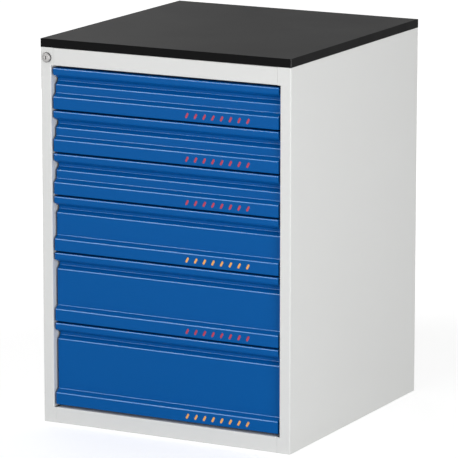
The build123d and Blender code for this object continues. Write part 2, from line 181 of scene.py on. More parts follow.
def make_fold_gloss():
    """Masks of the folds, where a surface is drawn smooth: rising ones, upright ones and all of them."""
    off_upright_face = (0.04, 0.12)
    off_level_face = (0.72, 0.62)
    off_any_face = (0.995, 0.94)
    off_slope = (0.3, 0.1)
    tree, _, result = new_group(
        "fold_gloss", {}, {label: "NodeSocketFloat" for label in ("Rising", "Upright", "Any")}
    )
    normal = add_node(tree, "ShaderNodeTexCoord").outputs["Normal"]
    rise = split_axes(tree, normal)["Z"]
    size = split_axes(tree, without_signs(tree, normal))
    larger = add_math(tree, "MAXIMUM", size["X"], size["Y"])
    largest = add_math(tree, "MAXIMUM", larger, size["Z"])
    any_fold = add_step(tree, largest, *off_any_face)
    put_out(
        tree, result,
        Rising=add_math(
            tree, "MULTIPLY", add_step(tree, rise, *off_upright_face), add_step(tree, rise, *off_level_face)
        ),
        Upright=add_math(tree, "MULTIPLY", any_fold, add_step(tree, size["Z"], *off_slope)),
        Any=any_fold,
    )
    return tree


fold_gloss = make_fold_gloss()


def polish_folds(tree, shader, folds, coat_ior):
    """Makes the folds of a surface glossier than its flat faces, and returns their mask."""
    fold_roughness = 0.2
    mask = add_node(tree, "ShaderNodeGroup", {"node_tree": fold_gloss}).outputs[folds]
    tree.links.new(mask, shader.inputs["Coat Weight"])
    shader.inputs["Coat Roughness"].default_value = fold_roughness
    shader.inputs["Coat IOR"].default_value = coat_ior
    return mask


def opaque(colour):
    """A colour as sockets take it, with nothing to see through."""
    return (*colour, 1.0)


def coat_of(name, colour, painted_highlight_colour, clouding, roughness, gloss, folds, coat_ior):
    """A powder-coated steel finish, glossier over the folds, where its colour is also mixed towards a lighter
    one as a painted highlight.
    """
    peel_per_metre = 620.0
    peel_relief = 0.00001
    material, tree, shader = new_material(name)
    settings = {
        "Colour": opaque(colour), "Clouding": clouding, "Roughness": roughness, "Peel": peel_per_metre
    }
    finish = finish_with(tree, shader, powder_coat, settings, peel_relief)
    mask = polish_folds(tree, shader, folds, coat_ior)
    # Mixing towards the second colour over the folds paints a highlight there.
    colour_with_painted_highlight = add_mix(tree, "RGBA", mask, finish.outputs["Colour"], opaque(painted_highlight_colour))
    tree.links.new(colour_with_painted_highlight, shader.inputs["Base Color"])
    shader.inputs["Specular IOR Level"].default_value = gloss
    return material


light_grey = (0.731, 0.736, 0.725)
housing_paint = coat_of(
    "light_grey_coat", light_grey, light_grey,
    clouding=0.035, roughness=0.5, gloss=0.4, folds="Any", coat_ior=1.5,
)


def pick_edges(passes):
    """Selects, in edit mode, the edges that pass a test, and nothing else."""
    bpy.ops.mesh.select_mode(type="EDGE")
    bpy.ops.mesh.select_all(action="DESELECT")
    mesh = bmesh.from_edit_mesh(bpy.context.edit_object.data)
    for edge in mesh.edges:
        if passes(edge):
            edge.select_set(True)
    bmesh.update_edit_mesh(bpy.context.edit_object.data)


def pick_vertices(passes):
    """Selects, in edit mode, the vertices whose places pass a test, and nothing else."""
    bpy.ops.mesh.select_mode(type="VERT")
    bpy.ops.mesh.select_all(action="DESELECT")
    mesh = bmesh.from_edit_mesh(bpy.context.edit_object.data)
    for vertex in mesh.verts:
        if passes(vertex.co):
            vertex.select_set(True)
    mesh.select_flush_mode()
    bmesh.update_edit_mesh(bpy.context.edit_object.data)


near = 0.00002


def edge_lies(edge, **places):
    """True if both ends of an edge lie at the given x, y or z."""
    return all(
        abs(getattr(end.co, axis) - value) < near for end in edge.verts for axis, value in places.items()
    )


def name_piece(name):
    """Names the piece that was just added."""
    piece = bpy.context.object
    piece.name = name
    piece.data.name = name
    return piece


fold_segments = 6
axes = {"x": Vector((1, 0, 0)), "y": Vector((0, 1, 0)), "z": Vector((0, 0, 1))}


def fold_sheet(name, corners, low, high, axis):
    """Outer face of a folded sheet, in edit mode: an edge along an axis, extruded from corner to corner."""
    along = axes[axis]
    length = high - low
    bpy.ops.mesh.primitive_plane_add(size=length)
    piece = name_piece(name)
    bpy.ops.object.mode_set(mode="EDIT")
    pick_vertices(lambda place: place.y > 0)
    bpy.ops.mesh.delete(type="VERT")
    bpy.ops.mesh.select_all(action="SELECT")
    bpy.ops.transform.translate(value=(0, length / 2, 0))
    bpy.ops.object.mode_set(mode="OBJECT")
    piece.rotation_euler = axes["x"].rotation_difference(along).to_euler()
    piece.location = corners[0] + along * (low + high) / 2
    bpy.ops.object.transform_apply()
    bpy.ops.object.mode_set(mode="EDIT")
    bpy.ops.mesh.select_all(action="SELECT")
    for corner, following in zip(corners, corners[1:]):
        bpy.ops.mesh.extrude_edges_move(TRANSFORM_OT_translate={"value": following - corner})
    return piece


def round_folds(corners, bend, axis):
    """Rounds the folds at the inner corners of the face in edit mode to a bend radius."""
    along = axes[axis]
    for before, corner, after in zip(corners, corners[1:], corners[2:]):
        turn = (corner - before).angle(after - corner)
        pick_edges(lambda edge: all((end.co - corner).cross(along).length < near for end in edge.verts))
        bpy.ops.mesh.bevel(
            offset_type="OFFSET", offset=bend * math.tan(turn / 2), segments=fold_segments, affect="EDGES"
        )


far_off = 10.0


def face_outwards(piece, outside):
    """Turns the face in edit mode so that the side towards a point is its outside, and ends edit mode."""
    bpy.ops.mesh.select_all(action="SELECT")
    bpy.ops.object.mode_set(mode="OBJECT")
    largest = max(piece.data.polygons, key=lambda face: face.area)
    if largest.normal.dot(outside - largest.center) < 0:
        piece.data.flip_normals()


def add_modifier(piece, kind, **settings):
    """Adds a modifier with its settings and applies it."""
    modifier = piece.modifiers.new(kind.lower(), kind)
    for setting, value in settings.items():
        setattr(modifier, setting, value)
    bpy.ops.object.modifier_apply(modifier=modifier.name)


def thicken(piece, sheet):
    """Gives the outer face of a piece the thickness of its sheet, inwards."""
    add_modifier(piece, "SOLIDIFY", thickness=sheet, offset=-1.0, use_even_offset=True)


def cut_or_join(piece, other, operation):
    """Cuts another solid out of a piece or joins it on, and removes the other."""
    bpy.ops.object.select_all(action="DESELECT")
    piece.select_set(True)
    bpy.context.view_layer.objects.active = piece
    add_modifier(piece, "BOOLEAN", operation=operation, solver="EXACT", object=other)
    bpy.data.objects.remove(other)


smooth_angle = math.radians(32)


def settle(piece, material, body, slot, *nodes):
    """Shades a finished piece, gives it its material and sets it on its body in place of its nodes."""
    bpy.ops.object.shade_smooth_by_angle(angle=smooth_angle)
    add_modifier(piece, "WEIGHTED_NORMAL", keep_sharp=True)
    piece.data.materials.clear()
    piece.data.materials.append(material)
    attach(piece, body)
    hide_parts(*nodes)
    bpy.ops.object.select_all(action="DESELECT")


housing_sheet = 0.00125
housing_bend = 0.0025
rear_flange = 0.028
tab_reach = 0.0058
flat_beside_bend = 0.0006
rail_low, rail_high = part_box("bottom_front_rail")
opening_bottom = rail_high.z
opening_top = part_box("top_front_rail")[0].z
return_end_y = rail_high.y
lock_low, lock_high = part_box("lock_case")
lock_middle = (lock_low + lock_high) / 2
lock_hole_radius = 0.0081
lock_hole_depth = 0.01
lock_hole_sides = 48
for side, hand in ((-1, "left"), (1, "right")):
    low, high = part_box(f"{hand}_side_panel")
    wall_x = side * max(abs(low.x), abs(high.x))
    half_opening = min(abs(low.x), abs(high.x)) + tab_reach
    inner_x = side * (half_opening + housing_bend + flat_beside_bend)
    corners = [
        Vector((wall_x - side * rear_flange, high.y, 0)),
        Vector((wall_x, high.y, 0)),
        Vector((wall_x, low.y, 0)),
        Vector((inner_x, low.y, 0)),
    ]
    panel = fold_sheet(f"{hand}_wall_sheet", corners, low.z, high.z, "z")
    for level in (opening_bottom, opening_top):
        bpy.ops.mesh.select_all(action="SELECT")
        bpy.ops.mesh.bisect(plane_co=(0, 0, level), plane_no=(0, 0, 1))
    pick_edges(
        lambda edge: edge_lies(edge, x=inner_x, y=low.y)
        and opening_bottom - near < min(end.co.z for end in edge.verts)
        and max(end.co.z for end in edge.verts) < opening_top + near
    )
    fold_corner = Vector((side * half_opening, low.y, 0))
    return_end = Vector((side * half_opening, return_end_y, 0))
    bpy.ops.mesh.extrude_edges_move(TRANSFORM_OT_translate={"value": fold_corner - corners[-1]})
    bpy.ops.mesh.extrude_edges_move(TRANSFORM_OT_translate={"value": return_end - fold_corner})
    tab_end = Vector((side * (half_opening - tab_reach), low.y, 0))
    for level in (low.z, high.z):
        pick_edges(
            lambda edge: edge_lies(edge, x=inner_x, y=low.y)
            and any(abs(end.co.z - level) < near for end in edge.verts)
        )
        bpy.ops.mesh.extrude_edges_move(TRANSFORM_OT_translate={"value": tab_end - corners[-1]})
    round_folds(corners, housing_bend, "z")
    round_folds([corners[-1], fold_corner, return_end], housing_bend, "z")
    face_outwards(panel, Vector((side * far_off, 0, high.z / 2)))
    thicken(panel, housing_sheet)
    if hand == "left":
        bpy.ops.mesh.primitive_cylinder_add(
            vertices=lock_hole_sides, radius=lock_hole_radius, depth=lock_hole_depth,
            rotation=(math.pi / 2, 0, 0), location=(lock_middle.x, low.y, lock_middle.z),
        )
        cut_or_join(panel, bpy.context.object, "DIFFERENCE")
    settle(panel, housing_paint, "housing", "housing_paint", f"{hand}_side_panel")


# Front rails: folded steel channels between the uprights, above and below the drawers, welded to
# the tabs and coated with the rest of the housing.
for place in ("top", "bottom"):
    low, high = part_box(f"{place}_front_rail")
    corners = [
        Vector((0, high.y, high.z)),
        Vector((0, low.y, high.z)),
        Vector((0, low.y, low.z)),
        Vector((0, high.y, low.z)),
    ]
    rail = fold_sheet(f"{place}_rail_channel", corners, low.x, high.x, "x")
    round_folds(corners, housing_bend, "x")
    face_outwards(rail, Vector((0, -far_off, high.z)))
    thicken(rail, housing_sheet)
    settle(rail, housing_paint, "housing", "housing_paint", f"{place}_front_rail")


# Rear, base and top sheets and the runner posts: flat and folded steel inside the housing, coated
# in the same light grey. Their solids already have the right shape.
def dress(material, *nodes):
    """Gives solids of the frame their finish."""
    for node in nodes:
        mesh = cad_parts[node].data
        mesh.materials.clear()
        mesh.materials.append(material)


dress(housing_paint, "rear_panel", "base_panel", "top_panel", "runner_posts")


# Worktop: particle board faced with a black laminate, whose fine embossed grain scatters light.
# It lies on the top sheet and is screwed down from inside the housing.
def add_ramp(tree, value, start, end, strength):
    """A straight ramp from 0 at one value to a strength at another."""
    sockets = {"Value": value, "From Min": start, "From Max": end, "To Min": 0.0, "To Max": strength}
    return add_node(tree, "ShaderNodeMapRange", None, sockets).outputs[0]


def make_laminate():
    """Embossed laminate: a fine leathery grain with pale specks at its tips, and smears in the gloss."""
    pits_per_metre = 900.0
    specks_per_metre = 2600.0
    speck_start, speck_full, speck_strength = 0.55, 0.75, 0.5
    smears_per_metre = 4.0
    smear_dulling = 0.1
    tree, given, result = new_group(
        "embossed_laminate",
        {"Colour": "NodeSocketColor", "Speck": "NodeSocketColor", "Roughness": "NodeSocketFloat"},
        finish_outputs,
    )
    place = add_node(tree, "ShaderNodeTexCoord").outputs["Object"]
    pits = add_node(
        tree, "ShaderNodeTexVoronoi", {"feature": "SMOOTH_F1"},
        {"Vector": place, "Scale": pits_per_metre, "Smoothness": 0.6},
    ).outputs["Distance"]
    specks = add_noise(tree, place, specks_per_metre, detail=2.0)
    speck_mask = add_ramp(tree, specks, speck_start, speck_full, speck_strength)
    smears = add_noise(tree, place, smears_per_metre, detail=5.0, Distortion=0.4)
    put_out(
        tree, result,
        Colour=add_mix(tree, "RGBA", speck_mask, given.outputs["Colour"], given.outputs["Speck"]),
        Roughness=add_math(tree, "MULTIPLY_ADD", smears, smear_dulling, given.outputs["Roughness"]),
        Height=pits,
    )
    return tree


laminate_black = (0.0075, 0.0075, 0.0073)
laminate_speck = (0.03, 0.03, 0.029)
laminate_relief = 0.00004
laminate, laminate_tree, laminate_shader = new_material("black_laminate")
laminate_settings = {"Colour": opaque(laminate_black), "Speck": opaque(laminate_speck), "Roughness": 0.55}
finish_with(laminate_tree, laminate_shader, make_laminate(), laminate_settings, laminate_relief)
laminate_shader.inputs["Specular IOR Level"].default_value = 0.08


def add_block(name, low, high):
    """A cube at its size and place, in edit mode."""
    bpy.ops.mesh.primitive_cube_add(size=1.0, location=(low + high) / 2, scale=high - low)
    block = name_piece(name)
    bpy.ops.object.transform_apply()
    bpy.ops.object.mode_set(mode="EDIT")
    return block


laminate_chamfer = 0.0002
board_low, board_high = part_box("worktop")
board = add_block("worktop_board", board_low, board_high)
pick_edges(lambda edge: edge_lies(edge, z=board_high.z))
bpy.ops.mesh.bevel(offset=laminate_chamfer, segments=1, affect="EDGES")
bpy.ops.object.mode_set(mode="OBJECT")
settle(board, laminate, "housing", "worktop_laminate", "worktop")


# Worktop edging: black plastic strips glued to the four sides of the board, with rounded edges. The
# front and rear strips cover the ends of the side ones.
def make_moulded_plastic():
    """Moulded or extruded plastic: a faint even grain and slightly uneven gloss."""
    grains_per_metre = 1500.0
    flow_per_metre = 25.0
    gloss_spread = 0.15
    tree, given, result = new_group(
        "moulded_plastic",
        {"Colour": "NodeSocketColor", "Shading": "NodeSocketFloat", "Roughness": "NodeSocketFloat"},
        finish_outputs,
    )
    place = add_node(tree, "ShaderNodeTexCoord").outputs["Object"]
    flow = add_noise(tree, place, flow_per_metre, detail=3.0)
    tone = add_math(tree, "SUBTRACT", flow, noise_middle)
    put_out(
        tree, result,
        Colour=shade(tree, given.outputs["Colour"], tone, given.outputs["Shading"]),
        Roughness=add_math(tree, "MULTIPLY_ADD", tone, gloss_spread, given.outputs["Roughness"]),
        Height=add_noise(tree, place, grains_per_metre, detail=2.0),
    )
    return tree


moulded_plastic = make_moulded_plastic()


def plastic_of(name, colour, shading, roughness, gloss, folds, coat_ior):
    """A plastic finish, glossier over its rounded edges."""
    grain_relief = 0.000008
    material, tree, shader = new_material(name)
    settings = {"Colour": opaque(colour), "Shading": shading, "Roughness": roughness}
    finish_with(tree, shader, moulded_plastic, settings, grain_relief)
    polish_folds(tree, shader, folds, coat_ior)
    shader.inputs["Specular IOR Level"].default_value = gloss
    return material


edging_black = (0.0045, 0.0045, 0.0047)
edging_plastic = plastic_of(
    "black_edging", edging_black, shading=0.3, roughness=0.55, gloss=0.045, folds="Upright", coat_ior=2.0
)
edging_low, edging_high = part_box("worktop_edging")
edging_round = 0.0008
seam = 0.0001
side_front_y = board_low.y + seam
side_rear_y = board_high.y - seam


def add_edging_strip(name, low, high, axis, outer):
    """One strip, rounded round its outer face."""
    strip = add_block(name, low, high)
    pick_edges(lambda edge: edge_lies(edge, **{axis: outer}))
    bpy.ops.mesh.bevel(offset=edging_round, segments=3, affect="EDGES")
    bpy.ops.object.mode_set(mode="OBJECT")
    return strip


strips = [
    add_edging_strip(
        "worktop_edging_strips", edging_low, Vector((edging_high.x, board_low.y, edging_high.z)),
        "y", edging_low.y,
    ),
    add_edging_strip(
        "rear_edging", Vector((edging_low.x, board_high.y, edging_low.z)), edging_high, "y", edging_high.y
    ),
    add_edging_strip(
        "left_edging", Vector((edging_low.x, side_front_y, edging_low.z)),
        Vector((board_low.x, side_rear_y, edging_high.z)), "x", edging_low.x,
    ),
    add_edging_strip(
        "right_edging", Vector((board_high.x, side_front_y, edging_low.z)),
        Vector((edging_high.x, side_rear_y, edging_high.z)), "x", edging_high.x,
    ),
]


def join_pieces(parts):
    """Joins parts into the first of them, which becomes the active piece."""
    bpy.ops.object.select_all(action="DESELECT")
    for part in parts:
        part.select_set(True)
    bpy.context.view_layer.objects.active = parts[0]
    bpy.ops.object.join()
    return parts[0]


settle(join_pieces(strips), edging_plastic, "housing", "edging_plastic", "worktop_edging")


# Runners: three nested channels a side, rolled from steel strip and zinc plated. The outer ones are
# hooked to the posts, the middle ones run between, and the inner ones are welded to the trays.
def make_plated_steel():
    """Rolled and plated steel: streaks along the strip, and a pale bloom that dulls it."""
    streaks_per_metre = (900.0, 12.0, 900.0)
    streak_dulling = 0.12
    bloom_per_metre = 60.0
    bloom_start, bloom_full, bloom_strength = 0.42, 0.7, 0.6
    bloom_dulling = 0.2
    tree, given, result = new_group(
        "plated_steel",
        {"Colour": "NodeSocketColor", "Bloom": "NodeSocketColor", "Roughness": "NodeSocketFloat"},
        finish_outputs,
    )
    place = add_node(tree, "ShaderNodeTexCoord").outputs["Object"]
    along_strip = add_node(
        tree, "ShaderNodeMapping", None, {"Vector": place, "Scale": streaks_per_metre}
    ).outputs["Vector"]
    streaks = add_noise(tree, along_strip, per_metre=1.0, detail=3.0)
    bloom = add_noise(tree, place, bloom_per_metre, detail=5.0, Roughness=0.6)
    bloom_mask = add_ramp(tree, bloom, bloom_start, bloom_full, bloom_strength)
    duller = add_math(tree, "MULTIPLY_ADD", bloom_mask, bloom_dulling, given.outputs["Roughness"])
    put_out(
        tree, result,
        Colour=add_mix(tree, "RGBA", bloom_mask, given.outputs["Colour"], given.outputs["Bloom"]),
        Roughness=add_math(tree, "MULTIPLY_ADD", streaks, streak_dulling, duller),
        Height=streaks,
    )
    return tree


plated_steel = make_plated_steel()


def metal_of(name, colour, bloom, roughness, relief):
    """A plated metal finish."""
    material, tree, shader = new_material(name)
    settings = {"Colour": opaque(colour), "Bloom": opaque(bloom), "Roughness": roughness}
    finish_with(tree, shader, plated_steel, settings, relief)
    shader.inputs["Metallic"].default_value = 1.0
    return material


zinc_grey = (0.56, 0.57, 0.58)
zinc_bloom = (0.68, 0.69, 0.7)
zinc = metal_of("zinc_plate", zinc_grey, zinc_bloom, roughness=0.26, relief=0.000004)
rail_sheet = 0.0012
rail_bend = 0.0021
drawer_count = 6
drawers = [f"drawer_{number + 1}" for number in range(drawer_count)]


def add_channel(name, side, web_x, tip_x, low, high):
    """One runner member along Y: a web at web_x and two flanges that reach to tip_x."""
    corners = [
        Vector((side * tip_x, 0, low.z)),
        Vector((side * web_x, 0, low.z)),
        Vector((side * web_x, 0, high.z)),
        Vector((side * tip_x, 0, high.z)),
    ]
    channel = fold_sheet(name, corners, low.y, high.y, "y")
    round_folds(corners, rail_bend, "y")
    behind_web = web_x + math.copysign(far_off, web_x - tip_x)
    face_outwards(channel, Vector((side * behind_web, 0, (low.z + high.z) / 2)))
    thicken(channel, rail_sheet)
    return channel


race_height = Vector((0, 0, 0.0052))
outer_tip_x = 0.256
middle_tip_x = 0.2552
outer_web_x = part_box("cabinet_rails")[1].x
outer_rails = []
for drawer in drawers:
    middle_low, middle_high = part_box(f"{drawer}_middle_rails")
    tray_rail_low, tray_rail_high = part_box(f"{drawer}_tray_rails")
    tray_web_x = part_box(f"{drawer}_tray")[1].x
    outer_low = middle_low - race_height
    outer_high = middle_high + race_height
    middle_rails = []
    tray_rails = []
    for side in (-1, 1):
        outer_rails.append(
            add_channel(f"{drawer}_outer_rail", side, outer_web_x, outer_tip_x, outer_low, outer_high)
        )
        middle_rails.append(
            add_channel(
                f"{drawer}_middle_runner", side, middle_high.x, middle_tip_x, middle_low, middle_high
            )
        )
        tray_rails.append(
            add_channel(
                f"{drawer}_tray_runner", side, tray_web_x, tray_rail_high.x, tray_rail_low, tray_rail_high
            )
        )
    settle(join_pieces(middle_rails), zinc, f"{drawer}_runners", "zinc_steel", f"{drawer}_middle_rails")
    settle(join_pieces(tray_rails), zinc, drawer, "zinc_steel", f"{drawer}_tray_rails")
    dress(zinc, f"{drawer}_ball_cages", f"{drawer}_lock_catch")
outer_runners = join_pieces(outer_rails)
outer_runners.name = "cabinet_runners"
settle(outer_runners, zinc, "housing", "zinc_steel", "cabinet_rails")
dress(zinc, "worktop_screws", "lock_nut", "lock_cam", "lock_bar")


# Lock bar guides: black moulded clips that are pushed into the left wall, one above another, and
# that the flat lock bar slides up and down in.
clip_black = (0.02, 0.02, 0.021)
guide_plastic = plastic_of(
    "black_clip", clip_black, shading=0.3, roughness=0.45, gloss=0.4, folds="Any", coat_ior=1.5
)
dress(guide_plastic, "lock_bar_guides")


# Lock: a nickel-plated case with a domed bezel, clamped through the left upright by its nut, and a
# barrel with an upright key slot that turns in it. The plating is painted dark down its sides and
# inside the upright, as painted shade.
frame_y = rail_low.y


def plate_lock():
    """Nickel plate, painted dark down its sides and inside the upright as painted shade."""
    nickel_grey = (0.32, 0.315, 0.31)
    nickel_bloom = (0.365, 0.36, 0.355)
    painted_shade = (0.05, 0.05, 0.052)
    off_front_face = (0.6, 0.3)
    shade_depth = 0.0008
    material = metal_of("nickel_plate", nickel_grey, nickel_bloom, roughness=0.28, relief=0.000003)
    tree = material.node_tree
    shader = tree.nodes["Principled BSDF"]
    plating = shader.inputs["Base Color"].links[0].from_socket
    surface = add_node(tree, "ShaderNodeTexCoord").outputs
    frontal = split_axes(tree, without_signs(tree, surface["Normal"]))["Y"]
    depth = split_axes(tree, surface["Object"])["Y"]
    on_side = add_step(tree, frontal, *off_front_face)
    inside = add_step(tree, depth, frame_y - shade_depth, frame_y)
    painted_shade_mask = add_math(tree, "MAXIMUM", on_side, inside)
    # The sides and the part behind the front face get a dark colour as painted shade.
    tree.links.new(add_mix(tree, "RGBA", painted_shade_mask, plating, opaque(painted_shade)), shader.inputs["Base Color"])
    return material


nickel = plate_lock()


def pick_faces(passes):
    """Selects, in edit mode, the faces that pass a test, and nothing else."""
    bpy.ops.mesh.select_mode(type="FACE")
    bpy.ops.mesh.select_all(action="DESELECT")
    mesh = bmesh.from_edit_mesh(bpy.context.edit_object.data)
    for face in mesh.faces:
        if passes(face):
            face.select_set(True)
    bmesh.update_edit_mesh(bpy.context.edit_object.data)


lock_sides = 64
squarely = 0.9


def add_cylinder(name, radius, front_y, rear_y):
    """A cylinder on the lock's axis, in edit mode."""
    bpy.ops.mesh.primitive_cylinder_add(
        vertices=lock_sides, radius=radius, depth=rear_y - front_y, rotation=(math.pi / 2, 0, 0),
        location=(lock_middle.x, (front_y + rear_y) / 2, lock_middle.z),
    )
    cylinder = name_piece(name)
    bpy.ops.object.transform_apply()
    bpy.ops.object.mode_set(mode="EDIT")
    return cylinder


def cap_at(y):
    """Test for the face across the lock's axis at y."""
    return lambda face: abs(face.normal.y) > squarely and abs(face.calc_center_median().y - y) < near


bezel_radius = (lock_high.x - lock_low.x) / 2
bezel_round = 0.0036
sleeve_radius = 0.008
bore_radius = 0.00555
bezel_land = 0.0043
bezel_dish = 0.0003
bezel_centre = Vector((lock_middle.x, lock_low.y, lock_middle.z))
case = add_cylinder("lock_bezel", bezel_radius, lock_low.y, frame_y)
pick_faces(cap_at(frame_y))
bpy.ops.mesh.inset(thickness=bezel_radius - sleeve_radius)
bpy.ops.mesh.extrude_region_move(TRANSFORM_OT_translate={"value": (0, lock_high.y - frame_y, 0)})
bpy.ops.mesh.inset(thickness=sleeve_radius - bore_radius)
bpy.ops.mesh.delete(type="FACE")
pick_faces(cap_at(lock_low.y))
bpy.ops.mesh.inset(thickness=bezel_land)
bpy.ops.mesh.inset(thickness=bezel_dish)
bpy.ops.mesh.extrude_region_move(TRANSFORM_OT_translate={"value": (0, bezel_dish, 0)})
bpy.ops.mesh.inset(thickness=bezel_radius - bezel_land - bezel_dish - bore_radius)
bpy.ops.mesh.delete(type="FACE")
pick_edges(lambda edge: edge.is_boundary)
bpy.ops.mesh.bridge_edge_loops()
pick_edges(
    lambda edge: edge_lies(edge, y=lock_low.y)
    and all(abs((end.co - bezel_centre).length - bezel_radius) < near for end in edge.verts)
)
bpy.ops.mesh.bevel(offset=bezel_round, segments=10, affect="EDGES")
bpy.ops.mesh.select_all(action="SELECT")
bpy.ops.mesh.normals_make_consistent(inside=False)
bpy.ops.object.mode_set(mode="OBJECT")
settle(case, nickel, "housing", "lock_nickel", "lock_case")

barrel_low, barrel_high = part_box("lock_barrel")
barrel_radius = (barrel_high.x - barrel_low.x) / 2
barrel_chamfer = 0.0003
tail_radius = 0.003
key_slot_height = 0.0075
key_slot_width = 0.0022
key_slot_depth = 0.008
key_slot_round = 0.00099
barrel = add_cylinder("lock_cylinder", barrel_radius, barrel_low.y, lock_high.y)
pick_faces(cap_at(lock_high.y))
bpy.ops.mesh.inset(thickness=barrel_radius - tail_radius)
bpy.ops.mesh.extrude_region_move(TRANSFORM_OT_translate={"value": (0, barrel_high.y - lock_high.y, 0)})
pick_edges(lambda edge: edge_lies(edge, y=barrel_low.y))
bpy.ops.mesh.bevel(offset=barrel_chamfer, segments=2, affect="EDGES")
bpy.ops.object.mode_set(mode="OBJECT")
half_slot = Vector((key_slot_width / 2, 0, key_slot_height / 2))
slot_front = Vector((lock_middle.x, barrel_low.y - key_slot_width, lock_middle.z))
slot_rear = Vector((lock_middle.x, barrel_low.y + key_slot_depth, lock_middle.z))
key_slot = add_block("key_slot", slot_front - half_slot, slot_rear + half_slot)
pick_edges(lambda edge: abs((edge.verts[0].co - edge.verts[1].co).normalized().y) > squarely)
bpy.ops.mesh.bevel(offset=key_slot_round, segments=4, affect="EDGES")
bpy.ops.object.mode_set(mode="OBJECT")
cut_or_join(barrel, key_slot, "DIFFERENCE")
settle(barrel, nickel, "lock_barrel", "lock_nickel", "lock_barrel")


# Drawer fronts: each is one blue-coated steel sheet, folded into a grip lip, a finger groove, a flat
# panel and a band with punched slots, and closed by a welded plate at each end.
# The lighter blue mixed in on the rising folds is a painted highlight.
deep_blue = (0.0005, 0.095, 0.343)
painted_highlight_blue = (0.001, 0.185, 0.57)
front_paint = coat_of(
    "blue_coat", deep_blue, painted_highlight_blue,
    clouding=0.06, roughness=0.4, gloss=0.07, folds="Rising", coat_ior=1.75,
)
front_sheet = 0.0012
front_bend = 0.0026
inward_bend = front_bend - front_sheet
lip_bend = 0.005
front_bends = (
    front_bend, lip_bend, inward_bend, inward_bend, front_bend, inward_bend, front_bend, front_bend
)
end_round = 0.0004
lip_height = 0.014
grip_drop = 0.009
grip_depth = 0.019
grip_wall = 0.006
panel_depth = 0.01
ledge_drop = 0.0074
band_height = 0.0256
slot_count = 8
slot_pitch = 0.02
slot_length = 0.0124
slot_width = 0.0052
slot_lean = math.radians(28)
slot_sides = 32
slot_row_x = 0.122
slot_row_share = 0.48
slot_round = 0.0003
sharp_turn = 1.0


def add_slot_row(name, length, width, row_z, front_y, rear_y):
    """A row of leaning round-ended prisms, one for each slot."""
    bpy.ops.mesh.primitive_cylinder_add(
        vertices=slot_sides, radius=width / 2, depth=rear_y - front_y,
        rotation=(math.pi / 2, math.pi / slot_sides, 0),
    )
    prism = name_piece(name)
    bpy.ops.object.transform_apply()
    bpy.ops.object.mode_set(mode="EDIT")
    for half in (-1, 1):
        pick_vertices(lambda place: place.z * half > 0)
        bpy.ops.transform.translate(value=(0, 0, half * (length - width) / 2))
    bpy.ops.object.mode_set(mode="OBJECT")
    prism.rotation_euler = (0, slot_lean, 0)
    first_x = slot_row_x - (slot_count - 1) / 2 * slot_pitch
    prism.location = (first_x, (front_y + rear_y) / 2, row_z)
    bpy.ops.object.transform_apply()
    prisms = [prism]
    while len(prisms) < slot_count:
        bpy.ops.object.duplicate()
        bpy.context.object.location.x += slot_pitch
        prisms.append(bpy.context.object)
    return join_pieces(prisms)


for drawer in drawers:
    low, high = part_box(f"{drawer}_front")
    grip_top = high.z - lip_height - grip_drop
    panel_top = grip_top - grip_wall - ledge_drop
    band_top = low.z + band_height
    corners = [
        Vector((0, y, z))
        for y, z in (
            (high.y, high.z),
            (low.y, high.z),
            (low.y, high.z - lip_height),
            (low.y + grip_depth, grip_top),
            (low.y + grip_depth, grip_top - grip_wall),
            (low.y + panel_depth, panel_top),
            (low.y + panel_depth, band_top + ledge_drop),
            (low.y, band_top),
            (low.y, low.z),
            (high.y, low.z),
        )
    ]
    front = fold_sheet(f"{drawer}_folded_front", corners, low.x, high.x, "x")
    for start, bend in enumerate(front_bends):
        round_folds(corners[start:start + 3], bend, "x")
    for end_x in (low.x, high.x):
        pick_vertices(lambda place: abs(place.x - end_x) < near and abs(place.y - high.y) < near)
        bpy.ops.mesh.edge_face_add()
        pick_edges(lambda edge: edge_lies(edge, x=end_x))
        bpy.ops.mesh.edge_face_add()
    bpy.ops.mesh.select_all(action="SELECT")
    bpy.ops.mesh.normals_make_consistent(inside=False)
    bpy.ops.object.mode_set(mode="OBJECT")
    thicken(front, front_sheet)
    row_z = low.z + band_height * slot_row_share
    slots = add_slot_row(
        "slots", slot_length, slot_width, row_z, low.y - front_sheet, low.y + 2 * front_sheet
    )
    cut_or_join(front, slots, "DIFFERENCE")
    bpy.ops.object.mode_set(mode="EDIT")
    pick_edges(
        lambda edge: edge_lies(edge, y=low.y)
        and edge.calc_face_angle(0) > sharp_turn
        and all(abs(end.co.z - row_z) < slot_length for end in edge.verts)
        and all(abs(end.co.x - low.x) > near and abs(end.co.x - high.x) > near for end in edge.verts)
    )
    bpy.ops.mesh.bevel(offset=slot_round, segments=2, affect="EDGES")
    pick_edges(
        lambda edge: edge.calc_face_angle(0) > sharp_turn
        and (edge_lies(edge, x=low.x) or edge_lies(edge, x=high.x))
        and min(end.co.y for end in edge.verts) < high.y - near
    )
    bpy.ops.mesh.bevel(offset=end_round, segments=2, affect="EDGES")
    bpy.ops.object.mode_set(mode="OBJECT")
    settle(front, front_paint, drawer, "front_paint", f"{drawer}_front")


